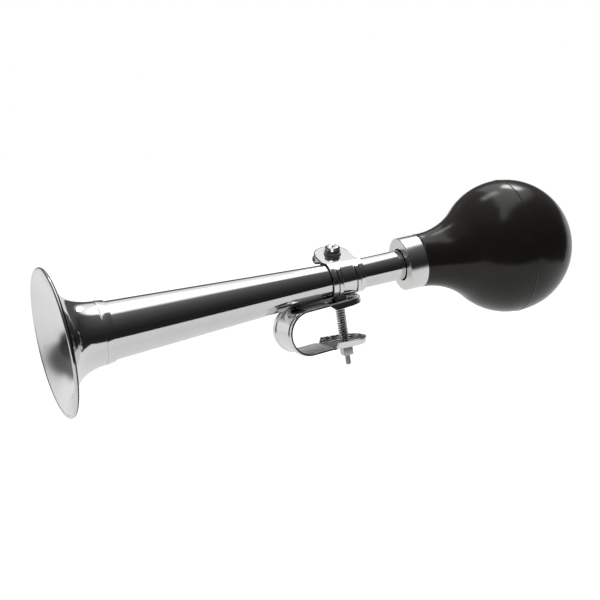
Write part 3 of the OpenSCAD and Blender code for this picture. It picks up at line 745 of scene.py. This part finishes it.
washer = lathe("pinch_lock_washer", rounded([
    (RING_TOP, WASHER_BORE), (RING_TOP, WASHER_R), (RING_TOP + WASHER_T, WASHER_R),
    (RING_TOP + WASHER_T, WASHER_BORE)], 0.18, 4), AT_PINCH, 96, "Z")
split_tool = prism("split_tool", [(1, -SPLIT_HALF), (6, -SPLIT_HALF), (6, SPLIT_HALF), (1, SPLIT_HALF)],
                   RING_TOP - 1, RING_TOP + WASHER_T + 1,
                   AT_PINCH @ Matrix.Rotation(SPLIT, 4, "Z"), 0.02, 1)
washer = cut(washer, split_tool)
done(washer, "bracket", "bright_steel", (M_WASHER,), "pinch_washer")

# ---------------------------------------------------------------- handlebar strap
LOBE_R = STRAP_W / 2
LOBE_REACH = 1.4  # a lobe's round end starts this far past the screw
LOBE_END = LOBE_REACH + LOBE_R
FLANGE_REACH, FLANGE_H, FLANGE_FADE = 10.8, 4.0, 0.8
FLANGE_LEAN, FLANGE_INSET = math.tan(math.radians(8)), 0.22
FOOT_STEP, FOOT_DIP, FOOT_RAMP = 0.6, 1.3, 2.5  # the lower lobe's step, its fall and the step's length
FOOT_SLOPE = FOOT_DIP / (FLANGE_REACH + LOBE_END)
RIB_Y, RIB_HALF, RIB_H = 7.3, 1.4, 0.5
RIB_START, RIB_STOP = (14, 30), (-17.5, -14.5)  # degrees round the loop, and x on the lower leg
BEND = 1.25
PLATE_HALF = LOBE_R - BEND - FLANGE_INSET  # a lobe's flat part, inside its folded edge


def foot_z(x):
    """The height of the lower leg's underside."""
    if x < -FLANGE_REACH:
        return FOOT - FOOT_STEP * smooth(-FLANGE_REACH - FOOT_RAMP, -FLANGE_REACH, x)
    return FOOT - FOOT_STEP - FOOT_SLOPE * (x + FLANGE_REACH)


def strap_rows():
    """Stations along the strap, from the upper lobe's end round the loop to the lower one's."""
    leg = LOOP_REACH + LOBE_REACH
    rows = [("top", LOBE_REACH + PLATE_HALF * math.sin(a)) for a in reversed(quarter(19))]
    rows += [("top", LOBE_REACH - leg * i / 30) for i in range(1, 31)]
    rows += [("loop", math.pi * i / 96) for i in range(1, 96)]
    rows += [("foot", -LOOP_REACH + leg * i / 40) for i in range(41)]
    rows += [("foot", LOBE_REACH + PLATE_HALF * math.sin(a)) for a in quarter(19)[1:]]
    return rows


def strap_point(row, y, depth):
    """The point at y across the strap, at a depth under the outer skin, ribs included."""
    kind, v = row
    if kind == "loop":
        lead = smooth(*RIB_START, math.degrees(v))
    elif kind == "foot":
        lead = 1 - smooth(*RIB_STOP, v)
    else:
        lead = 0.0
    out = RIB_H * lead * smooth(0, 0.75, RIB_HALF - abs(abs(y) - RIB_Y)) - depth
    if kind == "top":
        return (v, y, LOBE_TOP + out)
    if kind == "loop":
        r = LOOP_R + out
        return (-LOOP_REACH - r * math.sin(v), y, BAR_Z + r * math.cos(v))
    return (v, y, foot_z(v) - out)


def strap_half(row):
    """Half the strap's flat width at a station."""
    shoulder = 0.7  # where the leg narrows to the lobe's plate
    kind, v = row
    if kind == "loop":
        return LOBE_R
    if v > LOBE_REACH:
        return math.sqrt(max(PLATE_HALF ** 2 - (v - LOBE_REACH) ** 2, 0.0004))
    if v > -FLANGE_REACH:
        return PLATE_HALF
    if v > -FLANGE_REACH - shoulder:
        return LOBE_R - (LOBE_R - PLATE_HALF) * (1 - (-FLANGE_REACH - v) / shoulder)
    return LOBE_R


def strap_mesh():
    cols = 125
    offs = [-1 + 2 * j / (cols - 1) for j in range(cols)]
    outer, inner = [], []
    for row in strap_rows():
        h = strap_half(row)
        edge = 0.02 if row[0] != "loop" and row[1] > -FLANGE_REACH else 0.2
        skins = rolled_rows(strap_point, row, h, min(edge, h * 0.3), offs, STRAP_T)
        outer.append(skins[0])
        inner.append(skins[1])
    return sheet_from_grid("strap_sheet", outer, inner, AT_STRAP)


def lobe_walk():
    """Points and outward directions round a lobe, from one straight side to the other."""
    steps, side, leg = 72, 24, FLANGE_REACH + LOBE_REACH
    out = [(-FLANGE_REACH + leg * i / side, -LOBE_R, 0, -1) for i in range(side)]
    for i in range(steps + 1):
        a = -math.pi / 2 + math.pi * i / steps
        out.append((LOBE_REACH + LOBE_R * math.cos(a), LOBE_R * math.sin(a), math.cos(a), math.sin(a)))
    return out + [(LOBE_REACH - leg * i / side, LOBE_R, 0, 1) for i in range(1, side + 1)]


def flange(name, plate, sign, slant):
    """The folded edge of a lobe. plate(x) is the outer skin's height, sign is -1 to fold
    down and +1 to fold up, and slant is the slope of its ends."""
    outer, inner = [], []
    edge = 0.22
    for x, y, nx, ny in lobe_walk():
        z0 = plate(x)
        start = x + FLANGE_REACH
        full = FLANGE_H - FLANGE_FADE * max(start - slant * FLANGE_H, 0) / (FLANGE_REACH + LOBE_END)
        depth = min(full, BEND + 0.05 + (FLANGE_H - BEND) * start / (slant * FLANGE_H))
        low = max(depth - edge, BEND + 0.005)

        def at(d, z):
            d += FLANGE_INSET - max(z - BEND, 0) * FLANGE_LEAN
            return (x - nx * d, y - ny * d, z0 + sign * z)

        ro = [at(BEND - BEND * math.sin(a), BEND - BEND * math.cos(a)) for a in quarter(8)]
        fold = BEND - STRAP_T
        ri = [at(BEND - fold * math.sin(a), BEND - fold * math.cos(a)) for a in quarter(8)]
        for k in range(1, 5):
            z = max(BEND + (depth - edge - BEND) * k / 4, BEND + 0.001 * k)
            ro.append(at(0, z))
            ri.append(at(STRAP_T, z))
        for a in quarter(3)[1:]:
            ro.append(at(edge * (1 - math.cos(a)), low + edge * math.sin(a)))
            ri.append(at(STRAP_T - edge * (1 - math.cos(a)), low + edge * math.sin(a)))
        outer.append(ro)
        inner.append(ri)
    return sheet_from_grid(name, outer, inner, AT_STRAP)


def bore_tool(name, r, low, high, place, segs):
    return lathe(name, [(low, 0.01), (low, r), (high, r), (high, 0.01)], place, segs, "Z")


strap = strap_mesh()
strap = cut(strap, bore_tool("tool_pivot", PIVOT_R + REST_GAP, LOBE_TOP - 2, LOBE_TOP + 1, AT_STRAP, 72))
strap = cut(strap, bore_tool("tool_low", 1.6, FOOT - 4, FOOT + 3, AT_STRAP, 48))
done(strap, "strap", "nickel_bracket", (M_BRACKET, M_EDGE_SHADE, M_INNER, M_LOBE_SHADE), "handlebar_strap")
# Rims in near-black as painted shade, the inside, the upper leg's top under the tube, and the lower lobe's
# floor in dark grey as painted shade between the lobes
slot_where(strap.data, AT_STRAP, lambda c, n: abs(n.y) > 0.72 and abs(c.y) > LOBE_R - 0.4)
slot_where(strap.data, AT_STRAP, lambda c, n: abs(n.y) < 0.6 and abs(c.z - BAR_Z) < LOOP_R + 1.5
           and n.dot(Vector((min(c.x + LOOP_REACH, 0), 0, c.z - BAR_Z))) < 0, 2)
slot_where(strap.data, AT_STRAP, lambda c, n: -LOOP_REACH < c.x < -FLANGE_REACH and n.z > 0.9
           and c.z > BAR_Z, 2)
slot_where(strap.data, AT_STRAP, lambda c, n: c.x > -FLANGE_REACH and n.z > 0.9 and c.z < BAR_Z, 3)
top_edge = flange("upper_folded_edge", lambda x: LOBE_TOP, -1, 0.8)
done(top_edge, "strap", "nickel_bracket", (M_BRACKET,))
low_edge = flange("lower_folded_edge", foot_z, 1, 0.4)
done(low_edge, "strap", "nickel_bracket", (M_BRACKET,))

# ---------------------------------------------------------------- long screw, spring and square nut
SCREW_R, SCREW_PITCH, SCREW_DEPTH = 1.5, 0.8, 0.3
CSK_R, CSK_H = 2.9, 1.45
FOOT_AT_SCREW = FOOT - FOOT_STEP - FOOT_SLOPE * FLANGE_REACH
NUT_AF, NUT_H = 5.5, 5.6
NUT_TOP = FOOT_AT_SCREW - FOOT_SLOPE * NUT_AF * 0.7 - 0.03
SCREW_END = NUT_TOP - NUT_H - 5.4
HEAD_TOP = -(taper_r(SCREW_X) + 0.35)  # just under the tube
screw = thread_rod("long_screw_rod", SCREW_R, SCREW_PITCH, SCREW_END, HEAD_TOP - 1.3, AT_SCREW,
                   SCREW_DEPTH, 0.5, True)
done(screw, "bracket", "bright_steel", (M_NUT, M_SHADED_THREAD), "long_screw")
# The screw above the lower lobe, inside the spring, gets the near-black thread: painted shade
slot_where(screw.data, AT_SCREW, lambda c, n: c.z > FOOT_AT_SCREW)
csk = lathe("long_screw_head", rounded([
    (HEAD_TOP - CSK_H, 0.02), (HEAD_TOP - CSK_H, CSK_R / 2), (HEAD_TOP - 0.05, CSK_R, 0.05),
    (HEAD_TOP, CSK_R - 0.05, 0.05), (HEAD_TOP, 0.02)], 0.0, 2), AT_SCREW, 64, "Z")
done(csk, "bracket", "bright_steel", (M_STEEL,))

WIRE, SPRING_D, TURNS, SPRING_SHIFT = 0.7, 5.4, 17, 0.4
CURL_R = (SPRING_D - WIRE) / 2
SPRING_FOOT = FOOT_AT_SCREW + STRAP_T + FOOT_SLOPE * SPRING_D / 2 + REST_GAP
SPRING_TOP = LOBE_TOP - STRAP_T + 0.05  # the wire's end just bites into the lobe


def spring_mesh():
    """The wire, swept along its coil with a short straight lead at each end."""
    rings, sides = 40, 14
    low, high = SPRING_FOOT + WIRE, SPRING_TOP - WIRE
    path = [Vector((CURL_R, 0, SPRING_FOOT))]
    for i in range(TURNS * rings + 1):
        t = i / rings
        a = 2 * math.pi * t
        path.append(Vector((CURL_R * math.cos(a), CURL_R * math.sin(a), low + t * (high - low) / TURNS)))
    path.append(Vector((CURL_R, 0, SPRING_TOP)))
    verts, faces = [], []
    n = len(path)
    for i, p in enumerate(path):
        d = path[min(i + 1, n - 1)] - path[max(i - 1, 0)] if 0 < i < n - 1 else Vector((0, 0, 1))
        d.normalize()
        out = Vector((p.x, p.y, 0)).normalized()
        out = (out - out.dot(d) * d).normalized()
        side = d.cross(out)
        for c, s in wheel(sides):
            verts.append(tuple(p + WIRE / 2 * (c * out + s * side)))
    for i in range(n - 1):
        for k in range(sides):
            k2 = (k + 1) % sides
            faces.append([i * sides + k, i * sides + k2, (i + 1) * sides + k2, (i + 1) * sides + k])
    faces.append(list(range(sides))[::-1])
    faces.append([(n - 1) * sides + k for k in range(sides)])
    return make("spring_wire_coil", verts, faces, AT_SCREW @ Matrix.Translation((-SPRING_SHIFT, 0, 0)), 50)


spring = spring_mesh()
done(spring, "strap", "spring_steel", (M_SPRING,), "spacer_spring")

NUT_LOW = NUT_TOP - NUT_H
NUT_CHAMFER = 0.25
side = NUT_AF / 2
square = rounded([(-side, -side), (side, -side), (side, side), (-side, side)], 0.35, 4)
nut = prism("square_nut_body", square, NUT_LOW, NUT_TOP, AT_SCREW, 0.3, 3)
mouth = SCREW_R + NUT_CHAMFER
bore = lathe("tool_nut", [
    (NUT_LOW - 1, 0.01), (NUT_LOW - 1, 2.6), (NUT_LOW, mouth), (NUT_LOW + NUT_CHAMFER, SCREW_R),
    (NUT_TOP - NUT_CHAMFER, SCREW_R), (NUT_TOP, mouth), (NUT_TOP + 1, 2.6), (NUT_TOP + 1, 0.01)],
    AT_SCREW, 48, "Z")
nut = soften(cut(nut, bore), 0.06, 50)
done(nut, "square_nut", "bright_steel", (M_NUT,), "square_nut")

# ---------------------------------------------------------------- camera, as the photograph
cam_data = bpy.data.cameras.new("photo_camera")
cam_data.lens = 109.34
cam_data.sensor_width = 36
cam_data.clip_start = 0.01
cam_data.clip_end = 50
cam = bpy.data.objects.new("photo_camera", cam_data)
bpy.context.scene.collection.objects.link(cam)
# Fitted to the photo's outlines: the picture's right, the line of sight, and the eye's place
# in the horn's frame
right = Vector((0.92037, -0.36274, -0.14611)).normalized()
away = Vector((0.32884, 0.92009, -0.21283)).normalized()
up = right.cross(away).normalized()
eye = Vector((-181.43, -882.62, 197.52)) + HORN
view = Matrix((right, up, -away)).transposed().to_4x4()
view.translation = eye * 0.001
cam.matrix_world = view
bpy.context.scene.camera = cam

# ---------------------------------------------------------------- floor, lamps and surroundings
FLOOR_Z = -0.16
FLOOR_LEFT, FLOOR_RIGHT, FLOOR_NEAR, FLOOR_FAR = -1.6, 0.42, -0.42, 2.4


def math_node(nt, kind, a, b=None, c=None):
    """The value of a maths node whose inputs are numbers or other nodes' values."""
    n = nt.nodes.new("ShaderNodeMath")
    n.operation = kind
    for i, v in enumerate((a, b, c)):
        if v is None:
            continue
        if isinstance(v, (int, float)):
            n.inputs[i].default_value = v
        else:
            nt.links.new(v, n.inputs[i])
    return n.outputs["Value"]


def seen(nt, lp):
    """1 for the rays that show the backdrop: camera, glossy and transmission rays."""
    both = math_node(nt, "MAXIMUM", lp.outputs["Is Camera Ray"], lp.outputs["Is Glossy Ray"])
    return math_node(nt, "MAXIMUM", both, lp.outputs["Is Transmission Ray"])


def floor_material():
    mat = bpy.data.materials.new("pale_floor")
    mat.use_nodes = True
    nt = mat.node_tree
    nt.nodes.clear()
    out = nt.nodes.new("ShaderNodeOutputMaterial")
    lp = nt.nodes.new("ShaderNodeLightPath")
    dif = nt.nodes.new("ShaderNodeBsdfDiffuse")
    dif.inputs["Color"].default_value = (0.6, 0.6, 0.6, 1)
    em = nt.nodes.new("ShaderNodeEmission")
    em.inputs["Color"].default_value = (1, 1, 1, 1)
    shown = math_node(nt, "MULTIPLY", seen(nt, lp), 0.5)
    glow = math_node(nt, "MULTIPLY_ADD", lp.outputs["Is Camera Ray"], 0.35, shown)
    nt.links.new(glow, em.inputs["Strength"])
    add = nt.nodes.new("ShaderNodeAddShader")
    nt.links.new(dif.outputs["BSDF"], add.inputs[0])
    nt.links.new(em.outputs["Emission"], add.inputs[1])
    nt.links.new(add.outputs["Shader"], out.inputs["Surface"])
    return mat


fm = bpy.data.meshes.new("floor")
fm.from_pydata([(FLOOR_LEFT, FLOOR_NEAR, FLOOR_Z), (FLOOR_RIGHT, FLOOR_NEAR, FLOOR_Z),
                (FLOOR_RIGHT, FLOOR_FAR, FLOOR_Z), (FLOOR_LEFT, FLOOR_FAR, FLOOR_Z)], [], [(0, 1, 2, 3)])
floor = bpy.data.objects.new("floor", fm)
bpy.context.scene.collection.objects.link(floor)
floor.data.materials.append(floor_material())


def lamp(name, place, target, size, power):
    """A rectangular softbox at place, aimed at target."""
    data = bpy.data.lights.new(name, "AREA")
    data.shape = "RECTANGLE"
    data.size, data.size_y = size
    data.energy = power
    ob = bpy.data.objects.new(name, data)
    bpy.context.scene.collection.objects.link(ob)
    ob.location = place
    ob.rotation_euler = (Vector(target) - Vector(place)).to_track_quat("-Z", "Y").to_euler()
    return ob


lamp("softbox_right", (0.7, 0.64, 0.85), (0.12, 0.0, 0.0), (0.34, 0.22), 2.1)
lamp("softbox_back", (0.16, 0.54, 1.1), (0.12, 0, 0.02), (0.42, 0.2), 0.9)

# The room that the metal mirrors, written as elevations in degrees round the horizon
world = bpy.data.worlds.new("studio")
bpy.context.scene.world = world
world.use_nodes = True
nt = world.node_tree
nt.nodes.clear()
wout = nt.nodes.new("ShaderNodeOutputWorld")
tc = nt.nodes.new("ShaderNodeTexCoord")
sep = nt.nodes.new("ShaderNodeSeparateXYZ")
nt.links.new(tc.outputs["Generated"], sep.inputs["Vector"])
height = math_node(nt, "DEGREES", math_node(nt, "ARCSINE", sep.outputs["Z"]))
azimuth = math_node(nt, "DEGREES", math_node(nt, "ARCTAN2", sep.outputs["Y"], sep.outputs["X"]))
# Both as shares, for the ramps
rise = math_node(nt, "MULTIPLY_ADD", height, 1 / 180, 0.5)
place = math_node(nt, "MULTIPLY_ADD", azimuth, 1 / 360, 0.5)
LEVEL_LOW, LEVEL_SPAN = -40, 130  # the elevations that a level can take


def times(a, b):
    return math_node(nt, "MULTIPLY", a, b)


def rest_of(value):
    return math_node(nt, "SUBTRACT", 1.0, value)


def step_at(value, edge, half):
    """0 below the edge and 1 above it, soft over twice the half width."""
    t = nt.nodes.new("ShaderNodeMapRange")
    t.interpolation_type = "SMOOTHSTEP"
    nt.links.new(math_node(nt, "SUBTRACT", value, edge), t.inputs["Value"])
    t.inputs["From Min"].default_value = -half
    t.inputs["From Max"].default_value = half
    return t.outputs["Result"]


def level(stops):
    """An elevation for each direction round the room, from -X over -Y, +X and +Y."""
    col = ramp(nt, place, [((a + 180) / 360, (e - LEVEL_LOW) / LEVEL_SPAN) for a, e in stops])
    return math_node(nt, "MULTIPLY_ADD", col, LEVEL_SPAN, LEVEL_LOW)


# Upper and lower edge of the dark part. It goes from the left over the front to the right, and
# on behind the left, with the pale sweep between its ends
ROOM_TOP = [(-180, 48), (-140, 50), (-110, 56), (-85, 68), (-60, 72), (-20, 68), (0, 56), (20, 42),
            (40, 30), (90, 28), (98, 18), (104, -38), (137, -38), (144, 32), (165, 40), (180, 48)]
ROOM_LOW = [(-180, 0), (-168, 0), (-150, -26), (10, -26), (24, 2), (94, 2), (100, -20), (137, -8),
            (150, -4), (180, 0)]
# Upper edge of the dim card over the left and the back, which starts at CARD_LOW
CARD_TOP = [(-180, 84), (-125, 84), (-100, -38), (72, -38), (84, 70), (110, 84), (180, 84)]
CARD_LOW = 22
CARD_DIM = 0.86
dark = times(step_at(height, level(ROOM_LOW), 2.0), rest_of(step_at(height, level(ROOM_TOP), 7.0)))
dark_level = math_node(
    nt, "ADD", ramp(nt, place, [(0.0, 0.018), (0.52, 0.018), (0.58, 0.08), (1.0, 0.08)]),
    ramp(nt, rise, [(0.5, 0.0), (0.62, 0.02), (0.76, 0.07), (0.9, 0.18)]))
light = ramp(nt, rise, [(0.0, 0.7), (0.42, 0.75), (0.5, 0.85), (0.62, 0.9), (0.72, 1.0)])
overhead = math_node(nt, "MULTIPLY_ADD", step_at(height, 54, 13), 0.7, 1.0)
card = times(step_at(height, CARD_LOW, 7), rest_of(step_at(height, level(CARD_TOP), 6.0)))
lit = times(light, times(overhead, math_node(nt, "MULTIPLY_ADD", card, -CARD_DIM, 1.0)))
room = math_node(nt, "ADD", times(dark, dark_level), times(rest_of(dark), lit))
bg_room = nt.nodes.new("ShaderNodeBackground")
bg_room.inputs["Color"].default_value = (1, 1, 1, 1)
nt.links.new(room, bg_room.inputs["Strength"])
bg_white = nt.nodes.new("ShaderNodeBackground")
bg_white.inputs["Color"].default_value = (1, 1, 1, 1)
bg_white.inputs["Strength"].default_value = 1.0
# The camera sees plain white, also through glass
lp = nt.nodes.new("ShaderNodeLightPath")
mix = nt.nodes.new("ShaderNodeMixShader")
straight = math_node(nt, "MAXIMUM", lp.outputs["Is Camera Ray"], lp.outputs["Is Transmission Ray"])
nt.links.new(straight, mix.inputs["Fac"])
nt.links.new(bg_room.outputs["Background"], mix.inputs[1])
nt.links.new(bg_white.outputs["Background"], mix.inputs[2])
nt.links.new(mix.outputs["Shader"], wout.inputs["Surface"])

bpy.context.scene.view_settings.view_transform = "Standard"
